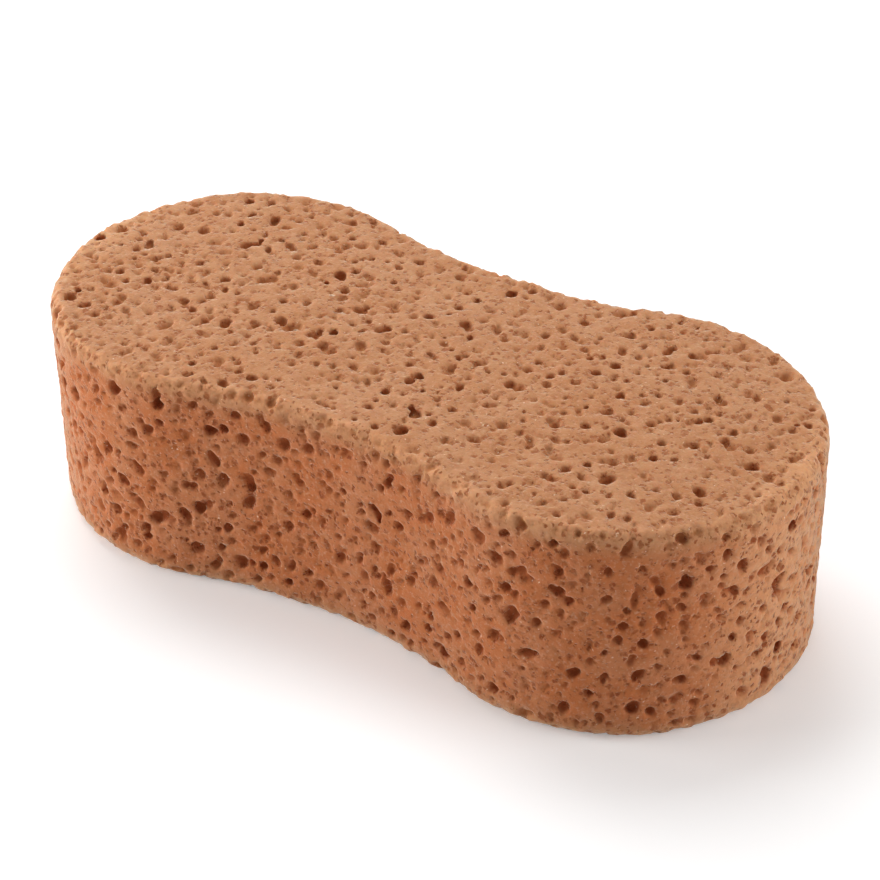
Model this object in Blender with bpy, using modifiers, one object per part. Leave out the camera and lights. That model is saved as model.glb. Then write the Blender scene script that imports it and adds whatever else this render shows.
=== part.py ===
"""Grout sponge: one block of coarse open-cell foam, cut to a figure-eight so that a hand can grip it at the waist.

Units are metres, +Z is up. The block lies on its broad face with its length along X, and the origin is on the
table, under the middle of the block.
"""
import math
import random

import bmesh
import bpy
from mathutils import Euler, Matrix, Vector

# The block, as the blade cuts it out of a foam slab
LENGTH = 0.220
END_WIDTH = 0.103
WAIST_WIDTH = 0.085
THICKNESS = 0.0625
RIM_ROUND = 0.003
RIM_SEGMENTS = 3
END_STEPS = 26
WAIST_STEPS = 8

# The larger cells that the blade laid open, which show from a step away
PORE_TRIES = 16000
PORE_RADIUS_MIN = 0.0013
PORE_RADIUS_MAX = 0.0024
PORE_STRETCH = 1.3
PORE_WALL = 0.0007
PORE_SEED = 11

# The largest of them are round hollows, and the rest are six-sided pits that narrow to a point
ROUND_RADIUS = 0.0019
ROUND_DEEPEST = 0.5
PIT_SIDES = 6
PIT_DEPTH = 1.4
PIT_RISE = 0.3

# Bare foam kept round the middle of each broad face, for a glued or clipped backing
BARE_SPOT = 0.006

FOAM_COLOUR = (0.54, 0.26, 0.13, 1.0)
FOAM_ROUGHNESS = 0.95

# The outline's four arcs: a round at each end, and a hollow at each side of the waist that runs into both
END_RADIUS = END_WIDTH / 2
END_CENTRE = LENGTH / 2 - END_RADIUS
WAIST_HALF = WAIST_WIDTH / 2
WAIST_RADIUS = (END_CENTRE**2 + WAIST_HALF**2 - END_RADIUS**2) / (2 * (END_RADIUS - WAIST_HALF))
WAIST_CENTRE = WAIST_HALF + WAIST_RADIUS
MEETING_ANGLE = math.atan2(END_CENTRE, WAIST_CENTRE)


def remove_all_objects():
    for old in list(bpy.data.objects):
        bpy.data.objects.remove(old, do_unlink=True)


def new_collection(name):
    collection = bpy.data.collections.new(name)
    bpy.context.scene.collection.children.link(collection)
    return collection


def foam_material():
    material = bpy.data.materials.new("foam")
    material.use_nodes = True
    shader = material.node_tree.nodes["Principled BSDF"]
    shader.inputs["Base Color"].default_value = FOAM_COLOUR
    shader.inputs["Roughness"].default_value = FOAM_ROUGHNESS
    shader.inputs["Metallic"].default_value = 0.0
    return material


def outline_points():
    """The figure-eight, anticlockwise from the lower end of the right-hand round."""
    half_turn = math.pi / 2 + MEETING_ANGLE
    points = []
    for side in (1, -1):
        for step in range(END_STEPS + 1):
            angle = half_turn * (2 * step / END_STEPS - 1)
            x = END_CENTRE + END_RADIUS * math.cos(angle)
            points.append((side * x, side * END_RADIUS * math.sin(angle)))
        for step in range(1, WAIST_STEPS):
            angle = MEETING_ANGLE * (1 - 2 * step / WAIST_STEPS)
            y = WAIST_CENTRE - WAIST_RADIUS * math.cos(angle)
            points.append((side * WAIST_RADIUS * math.sin(angle), side * y))
    return points


def block_from_outline(collection, material):
    """Extrudes the outline to the full thickness and softens the edges of its two broad faces."""
    curve = bpy.data.curves.new("outline", "CURVE")
    curve.dimensions = "2D"
    curve.fill_mode = "BOTH"
    curve.extrude = THICKNESS / 2
    points = outline_points()
    spline = curve.splines.new("POLY")
    spline.points.add(len(points) - 1)
    for point, (x, y) in zip(spline.points, points):
        point.co = (x, y, 0.0, 1.0)
    spline.use_cyclic_u = True
    drawn = bpy.data.objects.new("outline", curve)
    drawn.location.z = THICKNESS / 2
    collection.objects.link(drawn)
    bpy.context.view_layer.update()

    seen = drawn.evaluated_get(bpy.context.evaluated_depsgraph_get())
    mesh = bpy.data.meshes.new_from_object(seen)
    welded = bmesh.new()
    welded.from_mesh(mesh)
    bmesh.ops.remove_doubles(welded, verts=welded.verts, dist=0.00001)
    bmesh.ops.dissolve_limit(welded, angle_limit=math.radians(1), verts=welded.verts, edges=welded.edges)
    bmesh.ops.recalc_face_normals(welded, faces=welded.faces)
    welded.to_mesh(mesh)
    welded.free()
    mesh.materials.clear()
    mesh.materials.append(material)

    block = bpy.data.objects.new("sponge", mesh)
    block.matrix_world = drawn.matrix_world
    collection.objects.link(block)
    bpy.data.objects.remove(drawn, do_unlink=True)

    rim = block.modifiers.new("rim", "BEVEL")
    rim.width = RIM_ROUND
    rim.segments = RIM_SEGMENTS
    rim.limit_method = "ANGLE"
    rim.angle_limit = math.radians(40)
    return block


def depth_under_skin(place):
    """How far inside the block's surface a point lies, round rims included; it is below zero outside."""
    x, y = abs(place.x), abs(place.y)
    if x / END_CENTRE + y / WAIST_CENTRE > 1:
        from_side = END_RADIUS - math.hypot(x - END_CENTRE, y)
    else:
        from_side = math.hypot(x, WAIST_CENTRE - y) - WAIST_RADIUS
    from_face = min(place.z, THICKNESS - place.z)
    if from_side < RIM_ROUND and from_face < RIM_ROUND:
        return RIM_ROUND - math.hypot(RIM_ROUND - from_side, RIM_ROUND - from_face)
    return min(from_side, from_face)


def outward(place):
    """The direction from a point under the skin to the nearest skin."""
    step = THICKNESS / 1000
    slope = Vector()
    for axis in range(3):
        aside = Vector((0.0, 0.0, 0.0))
        aside[axis] = step
        slope[axis] = depth_under_skin(place - aside) - depth_under_skin(place + aside)
    return slope.normalized()


def scatter_pores(rng):
    """Picks cells at random just under the skin, and drops each that would break into one picked before."""
    pores = []
    for _ in range(PORE_TRIES):
        radius = PORE_RADIUS_MIN + (PORE_RADIUS_MAX - PORE_RADIUS_MIN) * rng.random() ** 1.5
        place = Vector((
            rng.uniform(-LENGTH / 2, LENGTH / 2),
            rng.uniform(-END_WIDTH / 2, END_WIDTH / 2),
            rng.uniform(0, THICKNESS),
        ))
        reach = radius * PORE_STRETCH
        if not 0 < depth_under_skin(place) < radius * ROUND_DEEPEST:
            continue
        if math.hypot(place.x, place.y) < BARE_SPOT + reach:
            continue
        if any((place - other).length < reach + taken * PORE_STRETCH + PORE_WALL for other, taken in pores):
            continue
        pores.append((place, radius))
    return pores


def add_round_hollow(cells, place, radius, rng):
    shape = Matrix.Diagonal((radius * PORE_STRETCH, radius, radius * rng.uniform(0.85, 1.1), 1.0))
    turn = Euler([rng.uniform(0, math.tau) for _ in range(3)]).to_matrix().to_4x4()
    at = Matrix.Translation(place)
    bmesh.ops.create_icosphere(cells, subdivisions=1, radius=1.0, matrix=at @ turn @ shape)


def add_pit(cells, place, radius, rng):
    normal = outward(place)
    skin = place + normal * depth_under_skin(place)
    middle = skin + normal * radius * (PIT_RISE - PIT_DEPTH) / 2
    turn = normal.to_track_quat("Z", "Y").to_matrix().to_4x4() @ Matrix.Rotation(rng.uniform(0, math.tau), 4, "Z")
    shape = Matrix.Diagonal((radius * rng.uniform(1.0, PORE_STRETCH), radius, radius, 1.0))
    bmesh.ops.create_cone(
        cells,
        cap_ends=True,
        segments=PIT_SIDES,
        radius1=0.0,
        radius2=(PIT_DEPTH + PIT_RISE) / PIT_DEPTH,
        depth=PIT_DEPTH + PIT_RISE,
        matrix=Matrix.Translation(middle) @ turn @ shape,
    )


def pore_cutter(collection):
    """One mesh of all the cells, each pulled a little longer one way and turned at random."""
    rng = random.Random(PORE_SEED)
    cells = bmesh.new()
    for place, radius in scatter_pores(rng):
        if radius > ROUND_RADIUS:
            add_round_hollow(cells, place, radius, rng)
        else:
            add_pit(cells, place, radius, rng)
    mesh = bpy.data.meshes.new("pores")
    cells.to_mesh(mesh)
    cells.free()
    cutter = bpy.data.objects.new("pores", mesh)
    cutter.hide_render = True
    cutter.display_type = "WIRE"
    collection.objects.link(cutter)
    return cutter


def build():
    remove_all_objects()
    parts = new_collection("grout_sponge")
    cutters = new_collection("cutters")
    block = block_from_outline(parts, foam_material())
    opened = block.modifiers.new("open pores", "BOOLEAN")
    opened.operation = "DIFFERENCE"
    opened.solver = "EXACT"
    opened.object = pore_cutter(cutters)


build()
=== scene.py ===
"""Grout sponge, dressed for its picture: a figure-eight block of terracotta open-cell foam on white paper."""
import math
import random

import bmesh
import bpy
import numpy as np
from mathutils import Euler, Matrix, Vector, noise


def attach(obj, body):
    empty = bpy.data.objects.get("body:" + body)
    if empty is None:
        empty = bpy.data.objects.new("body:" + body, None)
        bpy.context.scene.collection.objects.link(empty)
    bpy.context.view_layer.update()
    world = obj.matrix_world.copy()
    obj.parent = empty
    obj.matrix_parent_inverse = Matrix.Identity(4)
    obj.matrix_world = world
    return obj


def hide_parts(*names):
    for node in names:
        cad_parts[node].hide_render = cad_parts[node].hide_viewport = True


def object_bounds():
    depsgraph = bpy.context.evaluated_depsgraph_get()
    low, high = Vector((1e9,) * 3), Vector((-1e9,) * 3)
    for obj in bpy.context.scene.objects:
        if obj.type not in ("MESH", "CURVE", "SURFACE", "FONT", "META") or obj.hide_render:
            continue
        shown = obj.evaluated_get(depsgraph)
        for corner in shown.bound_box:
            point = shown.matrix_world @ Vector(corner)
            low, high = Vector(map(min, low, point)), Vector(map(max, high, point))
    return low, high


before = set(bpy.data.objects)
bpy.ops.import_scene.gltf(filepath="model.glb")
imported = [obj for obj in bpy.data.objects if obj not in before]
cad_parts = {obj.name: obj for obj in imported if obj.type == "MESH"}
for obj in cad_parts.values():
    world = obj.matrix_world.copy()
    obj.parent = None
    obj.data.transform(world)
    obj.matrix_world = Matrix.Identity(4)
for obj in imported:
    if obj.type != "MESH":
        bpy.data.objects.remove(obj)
cad_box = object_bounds()

# The view. The eye stands about 0.69 m off, in front of the sponge and to its right. It looks a little past the
# middle of the block, so that the block sits in the frame where the photograph has it, with no lens shift.
EYE_AZIMUTH = math.radians(33.85)
EYE_ELEVATION = math.radians(34.57)
EYE_DISTANCE = 0.6868
AIM_RIGHT = 0.00377
AIM_UP = 0.00118
EYE_ROLL = math.radians(-0.518)
PICTURE_SIDE = 880
FOCAL_PIXELS = 2590.8
SENSOR_MM = 36.0

low, high = (Vector(corner) for corner in cad_box)
middle = (low + high) / 2
away = Vector((
    math.sin(EYE_AZIMUTH) * math.cos(EYE_ELEVATION),
    -math.cos(EYE_AZIMUTH) * math.cos(EYE_ELEVATION),
    math.sin(EYE_ELEVATION),
))
across = Vector((math.cos(EYE_AZIMUTH), math.sin(EYE_AZIMUTH), 0.0))
eye = middle + away * EYE_DISTANCE
aim = middle + across * AIM_RIGHT + away.cross(across) * AIM_UP
eye_turn = (eye - aim).to_track_quat("Z", "Y").to_matrix() @ Matrix.Rotation(EYE_ROLL, 3, "Z")

lens = bpy.data.cameras.new("camera")
lens.sensor_width = SENSOR_MM
lens.lens = FOCAL_PIXELS * SENSOR_MM / PICTURE_SIDE
camera = bpy.data.objects.new("camera", lens)
camera.matrix_world = Matrix.Translation(eye) @ eye_turn.to_4x4()
bpy.context.scene.collection.objects.link(camera)
bpy.context.scene.camera = camera


# The sponge. It is one block of coarse polyether foam, blown full of round cells and cut from its slab with a
# contour blade. The cut leaves flat broad faces and straight sides, and opens every cell that it meets. Here a
# solid block is raised from the outline and left a little uneven, before the cells are cut out of it.
LENGTH = high.x - low.x
END_WIDTH = 0.103
WAIST_WIDTH = 0.085
THICKNESS = high.z - low.z
RIM_ROUND = 0.0020
RIM_SEGMENTS = 4
RIM_ANGLE = math.radians(60)
WAIST_STEPS = 12
END_STEPS = 36
BLOCK_GRAIN = 0.0024
WAVER = 0.0005
WAVER_PER_M = 45.0
WELD = 0.00001

END_RADIUS = END_WIDTH / 2
END_CENTRE = LENGTH / 2 - END_RADIUS
WAIST_HALF = WAIST_WIDTH / 2
WAIST_RADIUS = (END_CENTRE**2 + WAIST_HALF**2 - END_RADIUS**2) / (2 * (END_RADIUS - WAIST_HALF))
WAIST_CENTRE = WAIST_HALF + WAIST_RADIUS
MEETING_ANGLE = math.atan2(END_CENTRE, WAIST_CENTRE)


def depth_under_faces(place):
    """How far a point lies inside the side wall, and inside the nearer broad face."""
    x, y = abs(place.x), abs(place.y)
    if x / END_CENTRE + y / WAIST_CENTRE < 1:
        from_side = math.hypot(x, WAIST_CENTRE - y) - WAIST_RADIUS
    else:
        from_side = END_RADIUS - math.hypot(x - END_CENTRE, y)
    return from_side, min(place.z, THICKNESS - place.z)


def depth_under_skin(place):
    """How far a point lies inside the block, round rims included. It is below zero outside."""
    from_side, from_face = depth_under_faces(place)
    if from_side < RIM_ROUND and from_face < RIM_ROUND:
        return RIM_ROUND - math.hypot(RIM_ROUND - from_side, RIM_ROUND - from_face)
    return min(from_side, from_face)


def outward(place):
    """The direction from a point to the nearest skin, or away from it outside the block."""
    step = THICKNESS / 1000
    slope = Vector()
    for axis in range(3):
        aside = Vector((0.0, 0.0, 0.0))
        aside[axis] = step
        slope[axis] = depth_under_skin(place - aside) - depth_under_skin(place + aside)
    return slope.normalized()


def waver(place):
    return WAVER * noise.noise(place * WAVER_PER_M)


def block_mesh():
    """Spins a quarter of the outline, mirrors it twice, fills it, raises it and rounds its rims."""
    bm = bmesh.new()
    start = bm.verts.new((0.0, WAIST_HALF, 0.0))
    waist = bmesh.ops.spin(
        bm, geom=[start], cent=(0.0, WAIST_CENTRE, 0.0), axis=(0, 0, 1), angle=MEETING_ANGLE, steps=WAIST_STEPS
    )
    last = [v for v in waist["geom_last"] if isinstance(v, bmesh.types.BMVert)]
    round_end = -math.pi / 2 - MEETING_ANGLE
    bmesh.ops.spin(bm, geom=last, cent=(END_CENTRE, 0.0, 0.0), axis=(0, 0, 1), angle=round_end, steps=END_STEPS)
    for axis in ("X", "Y"):
        bmesh.ops.mirror(bm, geom=bm.verts[:] + bm.edges[:], merge_dist=WELD, axis=axis)
    bmesh.ops.remove_doubles(bm, verts=bm.verts, dist=WELD)
    bmesh.ops.contextual_create(bm, geom=bm.edges[:])
    raised = bmesh.ops.extrude_face_region(bm, geom=bm.faces[:])
    top = [v for v in raised["geom"] if isinstance(v, bmesh.types.BMVert)]
    bmesh.ops.translate(bm, verts=top, vec=(0.0, 0.0, THICKNESS))
    bmesh.ops.recalc_face_normals(bm, faces=bm.faces)
    rims = [e for e in bm.edges if e.is_manifold and e.calc_face_angle() > RIM_ANGLE]
    bmesh.ops.bevel(
        bm,
        geom=rims,
        offset=RIM_ROUND,
        segments=RIM_SEGMENTS,
        profile=0.5,
        affect="EDGES",
        material=-1,
        clamp_overlap=True,
    )
    mesh = bpy.data.meshes.new("block")
    bm.to_mesh(mesh)
    bm.free()
    return mesh


def new_piece(name, mesh):
    piece = bpy.data.objects.new(name, mesh)
    bpy.context.scene.collection.objects.link(piece)
    return piece


def keep_modifiers(piece):
    """Replaces a piece's mesh by what its modifiers make of it."""
    bpy.context.view_layer.update()
    seen = piece.evaluated_get(bpy.context.evaluated_depsgraph_get())
    mesh = bpy.data.meshes.new_from_object(seen)
    piece.modifiers.clear()
    piece.data = mesh


def remesh(piece, grain):
    even = piece.modifiers.new("even", "REMESH")
    even.mode = "VOXEL"
    even.voxel_size = grain
    keep_modifiers(piece)


foam = new_piece("foam_block", block_mesh())
remesh(foam, BLOCK_GRAIN)
for vertex in foam.data.vertices:
    vertex.co += outward(vertex.co) * waver(vertex.co)
foam.data.update()
bpy.context.view_layer.update()

# The open cells. The largest openings are about 5 mm across and most are 1 to 3 mm. They are cut in four
# rounds, and the cells of one round keep clear of each other but break into those of the rounds before.
CELL_WALL = 0.00015
CELL_STRETCH = 1.35
CELL_FLATTEST = 0.8
DENT = 0.28
DENTS_ROUND = 1.7
DENTS_PER_M = 1000.0


class Cells:
    """The cells of one round."""

    def __init__(self, largest):
        self.shapes = []
        self.grid = {}
        self.pitch = 2 * largest * (1 + DENT) + CELL_WALL

    def box_of(self, place):
        return tuple(math.floor(value / self.pitch) for value in place)

    def is_clear(self, place, reach):
        x, y, z = self.box_of(place)
        for dx in (-1, 0, 1):
            for dy in (-1, 0, 1):
                for dz in (-1, 0, 1):
                    for other, taken in self.grid.get((x + dx, y + dy, z + dz), ()):
                        if (place - other).length < reach + taken + CELL_WALL:
                            return False
        return True

    def add(self, place, halves, turn):
        """Adds a cell with the given half-widths, if there is room for it."""
        reach = max(halves) * (1 + DENT)
        if self.is_clear(place, reach):
            self.shapes.append(Matrix.Translation(place) @ turn.to_4x4() @ Matrix.Diagonal((*halves, 1.0)))
            self.grid.setdefault(self.box_of(place), []).append((place, reach))

    def add_at_random(self, rng, place, radius):
        halves = (radius * rng.uniform(1.0, CELL_STRETCH), radius, radius * rng.uniform(CELL_FLATTEST, 1.0))
        self.add(place, halves, Euler([rng.uniform(0, math.tau) for _ in range(3)]).to_matrix())


def scatter(cells, seed, tries, smallest, largest, above, below, share_on_faces):
    """Adds cells at random near the skin, with middles from so many radii above it to so many below."""
    rng = random.Random(seed)
    for _ in range(tries):
        radius = rng.uniform(smallest, largest)
        place = Vector((
            rng.uniform(-LENGTH / 2 - radius, LENGTH / 2 + radius),
            rng.uniform(-END_WIDTH / 2 - radius, END_WIDTH / 2 + radius),
            rng.uniform(-radius, THICKNESS + radius),
        ))
        from_side, from_face = depth_under_faces(place)
        if from_face < from_side and rng.random() > share_on_faces:
            continue
        if -above * radius < depth_under_skin(place) < below * radius:
            cells.add_at_random(rng, place, radius)


PARTNER_NEAREST = 0.8
PARTNER_FARTHEST = 1.3
PARTNER_SMALLEST = 0.55
PARTNER_LARGEST = 0.95


def add_partners(cells, others, seed, share):
    """Puts a smaller cell beside a share of the others, so that each such pair runs together."""
    rng = random.Random(seed)
    for shape in others.shapes:
        if rng.random() > share:
            continue
        place = shape.translation
        radius = shape.to_scale().y
        normal = outward(place)
        sideways = normal.orthogonal()
        sideways.rotate(Matrix.Rotation(rng.uniform(0, math.tau), 3, normal))
        beside = place + sideways * radius * rng.uniform(PARTNER_NEAREST, PARTNER_FARTHEST)
        cells.add_at_random(rng, beside, radius * rng.uniform(PARTNER_SMALLEST, PARTNER_LARGEST))


BITE_SMALLEST = 0.0007
BITE_LARGEST = 0.0014


def add_rim_bites(cells, seed, tries, inset):
    """Bites cells out of both rims, which leaves them ragged."""
    rng = random.Random(seed)
    for _ in range(tries):
        x = rng.uniform(-LENGTH / 2, LENGTH / 2)
        if abs(x) < WAIST_RADIUS * math.sin(MEETING_ANGLE):
            y = WAIST_CENTRE - math.sqrt(WAIST_RADIUS**2 - x**2)
        else:
            y = math.sqrt(END_RADIUS**2 - (abs(x) - END_CENTRE) ** 2)
        on_wall = Vector((x, y * rng.choice((-1, 1)), THICKNESS / 2))
        place = on_wall - outward(on_wall) * inset
        place.z = rng.choice((inset, THICKNESS - inset))
        cells.add_at_random(rng, place, rng.uniform(BITE_SMALLEST, BITE_LARGEST))


# The solid part's own pores, scattered by the same rule, so that the two agree
PORE_TRIES = 16000
PORE_RADIUS_MIN = 0.0013
PORE_RADIUS_MAX = 0.0024
PORE_BIAS = 1.5
PORE_STRETCH = 1.3
PORE_WALL = 0.0007
PORE_SEED = 11
ROUND_DEEPEST = 0.5
BARE_SPOT = 0.006
PORE_SHRINK = 0.9


def solid_part_pores():
    rng = random.Random(PORE_SEED)
    pores = []
    for _ in range(PORE_TRIES):
        radius = PORE_RADIUS_MIN + (PORE_RADIUS_MAX - PORE_RADIUS_MIN) * rng.random() ** PORE_BIAS
        place = Vector((
            rng.uniform(-LENGTH / 2, LENGTH / 2),
            rng.uniform(-END_WIDTH / 2, END_WIDTH / 2),
            rng.uniform(0, THICKNESS),
        ))
        reach = radius * PORE_STRETCH
        if not 0 < depth_under_skin(place) < radius * ROUND_DEEPEST:
            continue
        if math.hypot(place.x, place.y) < BARE_SPOT + reach:
            continue
        if any((place - other).length < reach + taken * PORE_STRETCH + PORE_WALL for other, taken in pores):
            continue
        pores.append((place, radius))
    return pores


# The cells that catch the eye first, where the photograph shows them: pixels across and down, and the width
ROUND_LANDMARKS = (
    (149, 246, 11), (120, 271, 9), (225, 279, 11), (226, 322, 13), (340, 274, 14), (363, 269, 15),
    (361, 310, 12), (317, 334, 11), (288, 327, 14), (428, 316, 11), (546, 335, 11), (555, 424, 12),
    (622, 351, 10), (693, 356, 10), (687, 372, 10), (722, 402, 12), (734, 432, 11), (752, 466, 14),
    (700, 491, 15), (156, 394, 12), (200, 508, 13), (223, 430, 12), (237, 431, 11), (224, 478, 12),
    (251, 487, 12), (248, 504, 12), (228, 528, 11), (229, 541, 12), (389, 514, 9), (495, 557, 12),
    (520, 572, 12), (536, 623, 11), (512, 613, 14), (553, 544, 12), (558, 592, 12), (573, 587, 11),
    (608, 573, 10), (682, 540, 12), (660, 592, 11), (643, 645, 13), (623, 627, 12), (650, 712, 12),
)
# Long cells have both ends and the width
LONG_LANDMARKS = (
    (661, 366, 676, 367, 9), (158, 329, 174, 321, 8), (288, 243, 294, 250, 10), (118, 473, 129, 486, 9),
    (181, 508, 190, 521, 10), (208, 452, 219, 467, 10), (132, 460, 143, 473, 8), (372, 541, 378, 553, 8),
    (429, 582, 440, 588, 8), (519, 653, 538, 654, 11), (622, 558, 631, 543, 10), (636, 592, 633, 610, 8),
    (633, 680, 643, 671, 11),
)
LANDMARK_SINK = 0.5
LANDMARK_SWELL = 1.1
LANDMARK_SEED = 51
LONGEST_CELL = 0.0046


def seen_at(x, y):
    """The point of the uncut block that the photograph shows at a pixel, and the size of a pixel there."""
    half = PICTURE_SIDE / 2
    sight = eye_turn @ Vector((x - half, half - y, -FOCAL_PIXELS))
    _, place, _, _ = foam.ray_cast(eye, sight.normalized())
    return place, (place - eye).length / FOCAL_PIXELS


def add_round_landmarks(cells):
    rng = random.Random(LANDMARK_SEED)
    for x, y, width in ROUND_LANDMARKS:
        place, pixel = seen_at(x, y)
        radius = width * pixel * LANDMARK_SWELL / 2
        cells.add_at_random(rng, place - outward(place) * radius * LANDMARK_SINK, radius)


def add_long_landmarks(cells):
    for x, y, end_x, end_y, width in LONG_LANDMARKS:
        first, pixel = seen_at(x, y)
        second, _ = seen_at(end_x, end_y)
        radius = width * pixel * LANDMARK_SWELL / 2
        centre = (first + second) / 2
        normal = outward(centre)
        along = (second - first).normalized()
        turn = Matrix((along, normal.cross(along), normal)).transposed()
        halves = ((second - first).length / 2 + radius / 2, radius, radius)
        cells.add(centre - normal * radius * LANDMARK_SINK, halves, turn)


def ball(subdivisions):
    bm = bmesh.new()
    bmesh.ops.create_icosphere(bm, subdivisions=subdivisions, radius=1.0)
    mesh = bpy.data.meshes.new("ball")
    bm.to_mesh(mesh)
    bm.free()
    return mesh


def cut(piece, cells, subdivisions):
    """Opens the cells in the piece. Their walls are dented by a share of their size."""
    one = ball(subdivisions)
    rounds = [vertex.co.copy() for vertex in one.vertices]
    bm = bmesh.new()
    for shape in cells.shapes:
        at = shape.translation
        for vertex, rounded in zip(one.vertices, rounds):
            dented = 1 + DENT * noise.noise(at * DENTS_PER_M + rounded * DENTS_ROUND)
            vertex.co = shape @ (rounded * dented)
        bm.from_mesh(one)
    mesh = bpy.data.meshes.new("cells")
    bm.to_mesh(mesh)
    bm.free()
    cutter = new_piece("cells", mesh)
    opened = piece.modifiers.new("open cells", "BOOLEAN")
    opened.operation = "DIFFERENCE"
    opened.solver = "MANIFOLD"
    opened.object = cutter
    keep_modifiers(piece)
    bpy.data.objects.remove(cutter, do_unlink=True)


large = Cells(LONGEST_CELL)
add_long_landmarks(large)
shape_rng = random.Random(PORE_SEED)
for place, radius in solid_part_pores():
    large.add_at_random(shape_rng, place, radius * PORE_SHRINK)
scatter(
    large, seed=21, tries=110000, smallest=0.0010, largest=0.0016,
    above=0.25, below=0.5, share_on_faces=0.9,
)

merged = Cells(PORE_RADIUS_MAX * CELL_STRETCH)
add_round_landmarks(merged)
add_partners(merged, large, seed=31, share=0.5)
add_rim_bites(merged, seed=41, tries=6000, inset=0.0009)
scatter(
    merged, seed=24, tries=130000, smallest=0.0008, largest=0.0013,
    above=0.1, below=0.6, share_on_faces=0.7,
)

medium = Cells(BITE_LARGEST * CELL_STRETCH)
add_rim_bites(medium, seed=42, tries=8000, inset=0.0006)
scatter(
    medium, seed=22, tries=450000, smallest=0.0006, largest=0.0010,
    above=0.05, below=0.6, share_on_faces=0.65,
)

small = Cells(BITE_LARGEST * CELL_STRETCH)
add_rim_bites(small, seed=43, tries=9000, inset=0.0008)
add_partners(small, merged, seed=32, share=0.4)
scatter(
    small, seed=23, tries=450000, smallest=0.0006, largest=0.0009,
    above=0.05, below=0.6, share_on_faces=0.65,
)

cut(foam, large, subdivisions=2)
cut(foam, merged, subdivisions=2)
cut(foam, medium, subdivisions=1)
cut(foam, small, subdivisions=1)

# The skin. The blade tears foam rather than slicing it clean, so every lip is soft and the skin is lumpy, most
# of all along the rims. Remeshing softens the lips here, and noise makes the lumps.
SKIN_GRAIN = 0.0006
LUMPS_PER_M = 330.0
LUMP_HEIGHT = 0.00028
GRAINS_PER_M = 750.0
GRAIN_HEIGHT = 0.00016
SKIN_DEPTH = 0.0006
LUMPS_IN_CELLS = 0.3
RIM_BAND = 0.0045
RIM_LUMPS = 3.2
SMOOTHINGS = 5
TRIANGLES = 196000


def keep_largest_body(mesh):
    """Deletes the crumbs that the cells have cut loose."""
    bm = bmesh.new()
    bm.from_mesh(mesh)
    left = set(bm.verts)
    bodies = []
    while left:
        edge = [left.pop()]
        body = set(edge)
        while edge:
            vertex = edge.pop()
            for link in vertex.link_edges:
                other = link.other_vert(vertex)
                if other not in body:
                    body.add(other)
                    edge.append(other)
        left -= body
        bodies.append(body)
    bodies.sort(key=len)
    for body in bodies[:-1]:
        bmesh.ops.delete(bm, geom=list(body), context="VERTS")
    bm.to_mesh(mesh)
    bm.free()


def raised_by(mesh):
    """How far each point stands out from the smoothed skin round it."""
    count = len(mesh.vertices)
    where = np.empty(count * 3)
    mesh.vertices.foreach_get("co", where)
    where = where.reshape(-1, 3)
    normal = np.empty(count * 3)
    mesh.vertices.foreach_get("normal", normal)
    pairs = np.empty(len(mesh.edges) * 2, dtype=int)
    mesh.edges.foreach_get("vertices", pairs)
    a, b = pairs.reshape(-1, 2).T
    linked = np.bincount(a, minlength=count) + np.bincount(b, minlength=count)
    smooth = where.copy()
    for _ in range(SMOOTHINGS):
        total = np.zeros_like(smooth)
        for axis in range(3):
            total[:, axis] = np.bincount(a, smooth[b, axis], count) + np.bincount(b, smooth[a, axis], count)
        smooth = (smooth + total / linked[:, None]) / 2
    return ((where - smooth) * normal.reshape(-1, 3)).sum(axis=1)


remesh(foam, SKIN_GRAIN)
keep_largest_body(foam.data)
depths = []
rims = []
for vertex in foam.data.vertices:
    depth = max(0.0, depth_under_skin(vertex.co) + waver(vertex.co))
    rim = max(0.0, 1 - max(depth_under_faces(vertex.co)) / RIM_BAND)
    depths.append(depth)
    rims.append(rim)
    on_skin = max(0.0, 1 - depth / SKIN_DEPTH)
    lump = noise.noise(vertex.co * LUMPS_PER_M) * LUMP_HEIGHT
    lump += noise.noise(vertex.co * GRAINS_PER_M) * GRAIN_HEIGHT
    lump *= (LUMPS_IN_CELLS + (1 - LUMPS_IN_CELLS) * on_skin) * (1 + RIM_LUMPS * rim)
    vertex.co += outward(vertex.co) * lump
    vertex.co.z = max(0.0, vertex.co.z)
foam.data.update()
for name, values in (("depth", depths), ("rim", rims), ("raised", raised_by(foam.data))):
    foam.data.attributes.new(name, "FLOAT", "POINT").data.foreach_set("value", values)
thin = foam.modifiers.new("thin", "DECIMATE")
thin.ratio = TRIANGLES / (2 * len(foam.data.polygons))
thin.use_collapse_triangulate = True
keep_modifiers(foam)
foam.data.shade_smooth()

# A flat map of the skin, for baking its colours. It is laid out in metres on a square sheet: the broad faces as
# they are, and below them the front and back walls, unrolled.
MAP_GAP = 0.003


def unrolled(x, y):
    """How far along the side wall a point lies from the middle of the waist."""
    at_waist = x / END_CENTRE + y / WAIST_CENTRE < 1
    along_waist = WAIST_RADIUS * np.arctan2(x, WAIST_CENTRE - y)
    round_end = math.pi / 2 + MEETING_ANGLE - np.arctan2(y, x - END_CENTRE)
    return np.where(at_waist, along_waist, WAIST_RADIUS * MEETING_ANGLE + END_RADIUS * round_end)


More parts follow.
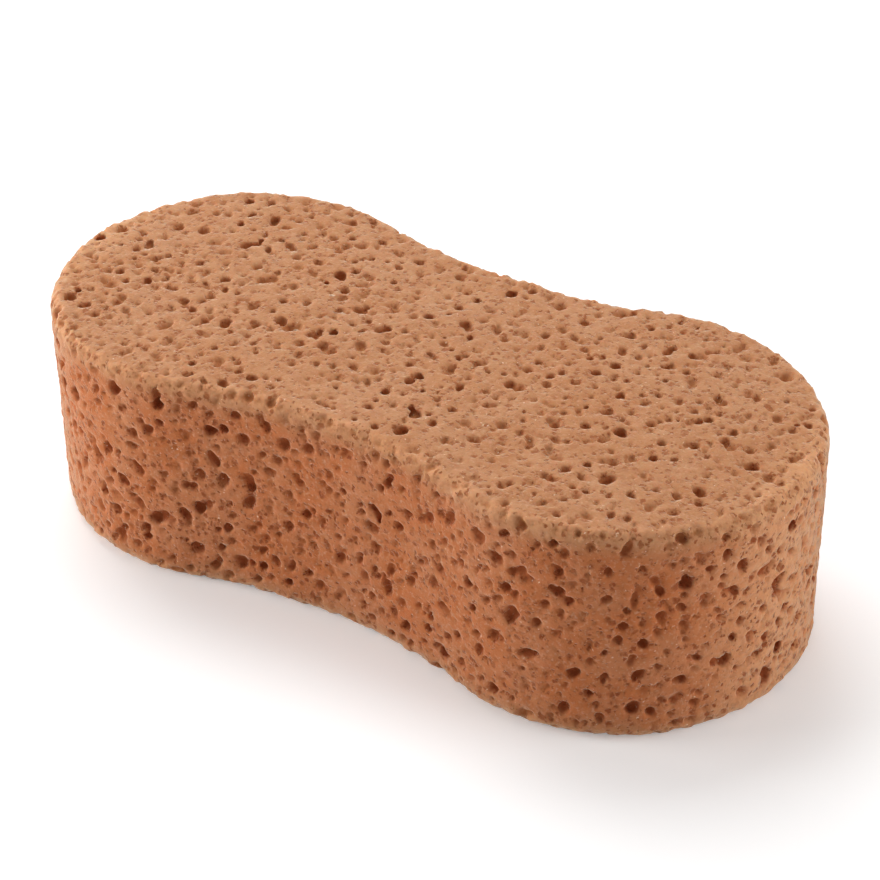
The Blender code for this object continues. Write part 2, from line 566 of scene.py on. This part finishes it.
def map_skin(mesh):
    """Gives each triangle a place on the sheet, by the broad face or side wall nearest to its middle."""
    half_side = unrolled(np.array(LENGTH / 2), np.array(0.0))
    heights = np.array((0.0, END_WIDTH, END_WIDTH, THICKNESS, THICKNESS))
    rows = np.cumsum(heights + MAP_GAP)
    corners = np.empty(len(mesh.loops), dtype=int)
    mesh.loops.foreach_get("vertex_index", corners)
    spots = np.empty(len(mesh.vertices) * 3)
    mesh.vertices.foreach_get("co", spots)
    spots = spots.reshape(-1, 3)[corners].reshape(-1, 3, 3)
    x, y, z = spots.transpose(2, 0, 1)
    middles = spots.mean(axis=1)
    from_side, from_face = np.array([depth_under_faces(Vector(spot)) for spot in middles]).T
    on_side = (from_side < from_face)[:, None]
    upper = (middles[:, 2] > THICKNESS / 2)[:, None]
    front = (middles[:, 1] < 0)[:, None]
    round_side = np.sign(x) * unrolled(abs(x), np.where(front, -y, y))
    along_row = np.where(on_side, round_side, x) + half_side + MAP_GAP
    up_face = np.where(upper, rows[0], rows[1]) + y + END_WIDTH / 2
    up_side = np.where(front, rows[2], rows[3]) + z
    sheet = np.stack((along_row, np.where(on_side, up_side, up_face)), axis=-1) / rows[4]
    mesh.uv_layers.new(name="OFBake").data.foreach_set("uv", sheet.ravel())


map_skin(foam.data)

# The foam's look. The cut skin is matt peach on the broad faces and terracotta on the sides, which are lit and
# shaded copies of one skin: painted light. Lips, the rims and the ends are paler, a painted highlight as sheen,
# and cells are darker the deeper they go, as painted shade. Dimples and specks that are too small to cut are
# painted, with painted shade in them, and glints are painted as pale dots.
# Lit and shaded copies of one skin, as painted light: the faces paler, the sides darker and redder
LIT_FACE_SKIN = (0.53, 0.23, 0.097)
SHADED_SIDE_SKIN = (0.54, 0.160, 0.047)
# Painted shade in the cells, lighter on the faces, where light falls from above, than on the sides
FACE_CELL_SHADE = (0.50, 0.185, 0.064)
SIDE_CELL_SHADE = (0.385, 0.095, 0.025)
# Painted shade in the dimples that are too small to cut, lighter on the faces than on the sides
FACE_DIMPLE_SHADE = (0.37, 0.115, 0.036)
SIDE_DIMPLE_SHADE = (0.31, 0.072, 0.017)
SHADE = (0.42, 0.145, 0.056)
BLOOM = (0.72, 0.41, 0.25)
# Pale patches at random, and the painted highlight on the lips
PALE_PATCH_AND_LIP_HIGHLIGHT = (0.66, 0.36, 0.20)
# Painted highlight, as sheen, along the rims and round the ends
RIM_AND_END_HIGHLIGHT = (0.82, 0.42, 0.205)
# Painted shade in the specks that are too small to cut
SPECK_SHADE = (0.36, 0.11, 0.034)
# Painted glints: pale dots that stand in for highlights
GLINT = (0.88, 0.66, 0.48)

foam_look = bpy.data.materials.new("foam")
foam_look.use_nodes = True
nodes = foam_look.node_tree.nodes
links = foam_look.node_tree.links
shader = nodes["Principled BSDF"]
shader.inputs["Roughness"].default_value = 0.85
shader.inputs["Specular IOR Level"].default_value = 0.25
shader.inputs["Sheen Weight"].default_value = 0.75
shader.inputs["Sheen Tint"].default_value = (1.0, 0.84, 0.66, 1.0)
shader.inputs["Sheen Roughness"].default_value = 0.35
shader.inputs["Subsurface Weight"].default_value = 0.35
shader.inputs["Subsurface Radius"].default_value = (1.0, 0.4, 0.2)
shader.inputs["Subsurface Scale"].default_value = 0.002
where = nodes.new("ShaderNodeTexCoord").outputs["Object"]


def into(socket, value):
    if isinstance(value, (int, float)):
        socket.default_value = value
    elif isinstance(value, tuple):
        socket.default_value = (*value, 1.0)
    else:
        links.new(value, socket)


def calculate(operation, *values):
    made = nodes.new("ShaderNodeMath")
    made.operation = operation
    for socket, value in zip(made.inputs, values):
        into(socket, value)
    return made.outputs[0]


def times(first, second):
    return calculate("MULTIPLY", first, second)


def scaled(value, gain, floor):
    return calculate("MULTIPLY_ADD", value, gain, floor)


def blend(share, first, second):
    made = nodes.new("ShaderNodeMix")
    made.data_type = "RGBA"
    into(made.inputs["Factor"], share)
    into(made.inputs[6], first)
    into(made.inputs[7], second)
    return made.outputs[2]


def spread(value, low_end, high_end, to_low=0.0, to_high=1.0):
    made = nodes.new("ShaderNodeMapRange")
    made.interpolation_type = "SMOOTHSTEP"
    into(made.inputs["Value"], value)
    made.inputs["From Min"].default_value = low_end
    made.inputs["From Max"].default_value = high_end
    made.inputs["To Min"].default_value = to_low
    made.inputs["To Max"].default_value = to_high
    return made.outputs["Result"]


def cloud(per_m, detail):
    made = nodes.new("ShaderNodeTexNoise")
    made.inputs["Scale"].default_value = per_m
    made.inputs["Detail"].default_value = detail
    links.new(where, made.inputs["Vector"])
    return made.outputs["Fac"]


STIRS_PER_M = 1000.0
STIR_REACH = 0.0016
SMALLEST_DOT = 0.001
DOT_CORE = 0.45

stir = nodes.new("ShaderNodeTexNoise")
stir.inputs["Scale"].default_value = STIRS_PER_M
links.new(where, stir.inputs["Vector"])
stirred = nodes.new("ShaderNodeVectorMath")
stirred.operation = "MULTIPLY_ADD"
stirred.inputs[1].default_value = (STIR_REACH, STIR_REACH, STIR_REACH)
links.new(stir.outputs["Color"], stirred.inputs[0])
links.new(where, stirred.inputs[2])


def dots(per_m, smallest, largest):
    """Uneven dots of random size, as shares of their spacing. A size below zero leaves a dot out."""
    made = nodes.new("ShaderNodeTexVoronoi")
    made.inputs["Scale"].default_value = per_m
    links.new(stirred.outputs[0], made.inputs["Vector"])
    luck = nodes.new("ShaderNodeSeparateColor")
    links.new(made.outputs["Color"], luck.inputs["Color"])
    size = scaled(luck.outputs["Red"], gain=largest - smallest, floor=smallest)
    size = calculate("MAXIMUM", size, SMALLEST_DOT)
    return spread(calculate("DIVIDE", made.outputs["Distance"], size), 1.0, DOT_CORE)


def attribute(name):
    made = nodes.new("ShaderNodeAttribute")
    made.attribute_name = name
    return made.outputs["Fac"]


FACE_EDGE = 0.001
FACE_FADE = 0.008
END_EDGE = 0.001
END_FADE = 0.014

apart = nodes.new("ShaderNodeSeparateXYZ")
links.new(where, apart.inputs[0])
from_middle = calculate("ABSOLUTE", calculate("SUBTRACT", apart.outputs["Z"], THICKNESS / 2))
on_face = spread(from_middle, THICKNESS / 2 - FACE_FADE, THICKNESS / 2 - FACE_EDGE)
from_waist = calculate("ABSOLUTE", apart.outputs["X"])
# Painted sheen: the skin is painted paler towards both ends
end_highlight = spread(from_waist, LENGTH / 2 - END_FADE, LENGTH / 2 - END_EDGE, to_high=0.55)
# The faces take the lit copy of the skin and the sides the shaded one: painted light
skin = blend(end_highlight, blend(on_face, SHADED_SIDE_SKIN, LIT_FACE_SKIN), RIM_AND_END_HIGHLIGHT)
# Painted highlight along the rims
rim_highlight = spread(attribute("rim"), low_end=0.0, high_end=0.9, to_high=0.6)
pale_patch = spread(cloud(per_m=70.0, detail=3.0), low_end=0.35, high_end=0.65, to_high=0.22)
shade = spread(cloud(per_m=550.0, detail=4.0), low_end=0.45, high_end=0.72, to_high=0.5)
bloom = spread(cloud(per_m=1100.0, detail=3.0), low_end=0.5, high_end=0.78, to_high=0.5)
# Painted highlight on the raised lips
lip_highlight = spread(attribute("raised"), low_end=0.00006, high_end=0.0004, to_high=0.25)
for share, tone in (
    (rim_highlight, RIM_AND_END_HIGHLIGHT),
    (pale_patch, PALE_PATCH_AND_LIP_HIGHLIGHT),
    (shade, SHADE),
    (bloom, BLOOM),
    (lip_highlight, PALE_PATCH_AND_LIP_HIGHLIGHT),
):
    skin = blend(share, skin, tone)

patches = scaled(cloud(per_m=1100.0, detail=3.0), gain=1.8, floor=0.1)
# Painted shade: the cells darken the deeper they go
cell_shade = spread(times(attribute("depth"), patches), low_end=0.00015, high_end=0.0018)
colour = blend(cell_shade, skin, blend(on_face, SIDE_CELL_SHADE, FACE_CELL_SHADE))

# Painted shade in the dimples and pinholes, which also dip in the bump
pinhole = times(
    dots(per_m=440.0, smallest=-0.1, largest=0.62),
    spread(cloud(per_m=500.0, detail=2.0), low_end=0.35, high_end=0.6, to_low=0.4),
)
dimple = times(
    dots(per_m=620.0, smallest=-0.05, largest=0.60),
    spread(cloud(per_m=350.0, detail=2.0), low_end=0.4, high_end=0.58, to_low=0.15),
)
hollow = calculate("MAXIMUM", pinhole, dimple)
colour = blend(hollow, colour, blend(on_face, SIDE_DIMPLE_SHADE, FACE_DIMPLE_SHADE))

ragged = spread(cloud(per_m=260.0, detail=2.0), low_end=0.48, high_end=0.62)
# Painted shade in the specks, which also dip in the bump
speck = times(dots(per_m=850.0, smallest=-0.1, largest=0.55), scaled(ragged, gain=0.6, floor=0.25))
colour = blend(speck, colour, SPECK_SHADE)
# Painted glints, in pale dots
glint = times(dots(per_m=900.0, smallest=-0.12, largest=0.27), scaled(ragged, gain=0.75, floor=0.1))
colour = blend(glint, colour, GLINT)
links.new(colour, shader.inputs["Base Color"])

SPECK_DIP = -0.3
HOLLOW_DIP = -0.9

height = calculate("MULTIPLY_ADD", speck, SPECK_DIP, cloud(per_m=1300.0, detail=3.0))
height = calculate("MULTIPLY_ADD", hollow, HOLLOW_DIP, height)
bump = nodes.new("ShaderNodeBump")
bump.inputs["Strength"].default_value = 0.7
bump.inputs["Distance"].default_value = 0.0003
links.new(height, bump.inputs["Height"])
links.new(bump.outputs["Normal"], shader.inputs["Normal"])

foam.data.materials.clear()
foam.data.materials.append(foam_look)
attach(foam, "root")
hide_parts("sponge")


# The floor: a sheet of white paper, rolled out flat under the sponge. It keeps the sponge's shadow, and the eye
# sees it a little brighter than the lamps make it, so that it is white all round.
PAPER_SIZE = 3.0
PAPER_DROP = 0.0002
PAPER_WHITE = (0.9, 0.9, 0.9, 1.0)
PAPER_GLOW = 0.25

bm = bmesh.new()
under = Matrix.Translation((0.0, 0.0, -PAPER_DROP))
bmesh.ops.create_grid(bm, x_segments=1, y_segments=1, size=PAPER_SIZE, matrix=under)
paper_mesh = bpy.data.meshes.new("paper")
bm.to_mesh(paper_mesh)
bm.free()
paper = new_piece("paper", paper_mesh)
paper_look = bpy.data.materials.new("paper")
paper_look.use_nodes = True
paper_nodes = paper_look.node_tree.nodes
paper_links = paper_look.node_tree.links
paper_shader = paper_nodes["Principled BSDF"]
paper_shader.inputs["Base Color"].default_value = PAPER_WHITE
paper_shader.inputs["Roughness"].default_value = 0.9
paper_shader.inputs["Emission Color"].default_value = (1.0, 1.0, 1.0, 1.0)
ray = paper_nodes.new("ShaderNodeLightPath")
seen = ray.outputs["Is Camera Ray"]
for other in ("Is Glossy Ray", "Is Transmission Ray"):
    either = paper_nodes.new("ShaderNodeMath")
    either.operation = "ADD"
    paper_links.new(seen, either.inputs[0])
    paper_links.new(ray.outputs[other], either.inputs[1])
    seen = either.outputs[0]
glow = paper_nodes.new("ShaderNodeMath")
glow.operation = "MULTIPLY"
glow.inputs[1].default_value = PAPER_GLOW
paper_links.new(seen, glow.inputs[0])
paper_links.new(glow.outputs[0], paper_shader.inputs["Emission Strength"])
paper.data.materials.append(paper_look)


# The light: a pale room and four soft boxes. The large one hangs overhead and a little behind, two small ones
# stand low at the left, and one at the right keeps that end from going dark.
ROOM_STRENGTH = 0.28

world = bpy.data.worlds.new("studio")
world.use_nodes = True
world.node_tree.nodes["Background"].inputs["Color"].default_value = (1.0, 1.0, 1.0, 1.0)
world.node_tree.nodes["Background"].inputs["Strength"].default_value = ROOM_STRENGTH
bpy.context.scene.world = world


def softbox(name, place, size, watts):
    light = bpy.data.lights.new(name, "AREA")
    light.shape = "SQUARE"
    light.size = size
    light.energy = watts
    lamp = bpy.data.objects.new(name, light)
    facing = (Vector(place) - middle).to_track_quat("Z", "Y").to_matrix().to_4x4()
    lamp.matrix_world = Matrix.Translation(place) @ facing
    bpy.context.scene.collection.objects.link(lamp)


softbox("overhead", place=(-0.5, 0.4, 1.2), size=0.8, watts=10.6)
softbox("left_front", place=(-0.55, -0.38, 0.22), size=0.35, watts=2.6)
softbox("left_end", place=(-0.9, 0.1, 0.25), size=0.5, watts=1.1)
softbox("right", place=(0.95, 0.3, 0.4), size=0.6, watts=4.4)
bpy.context.scene.view_settings.view_transform = "Standard"
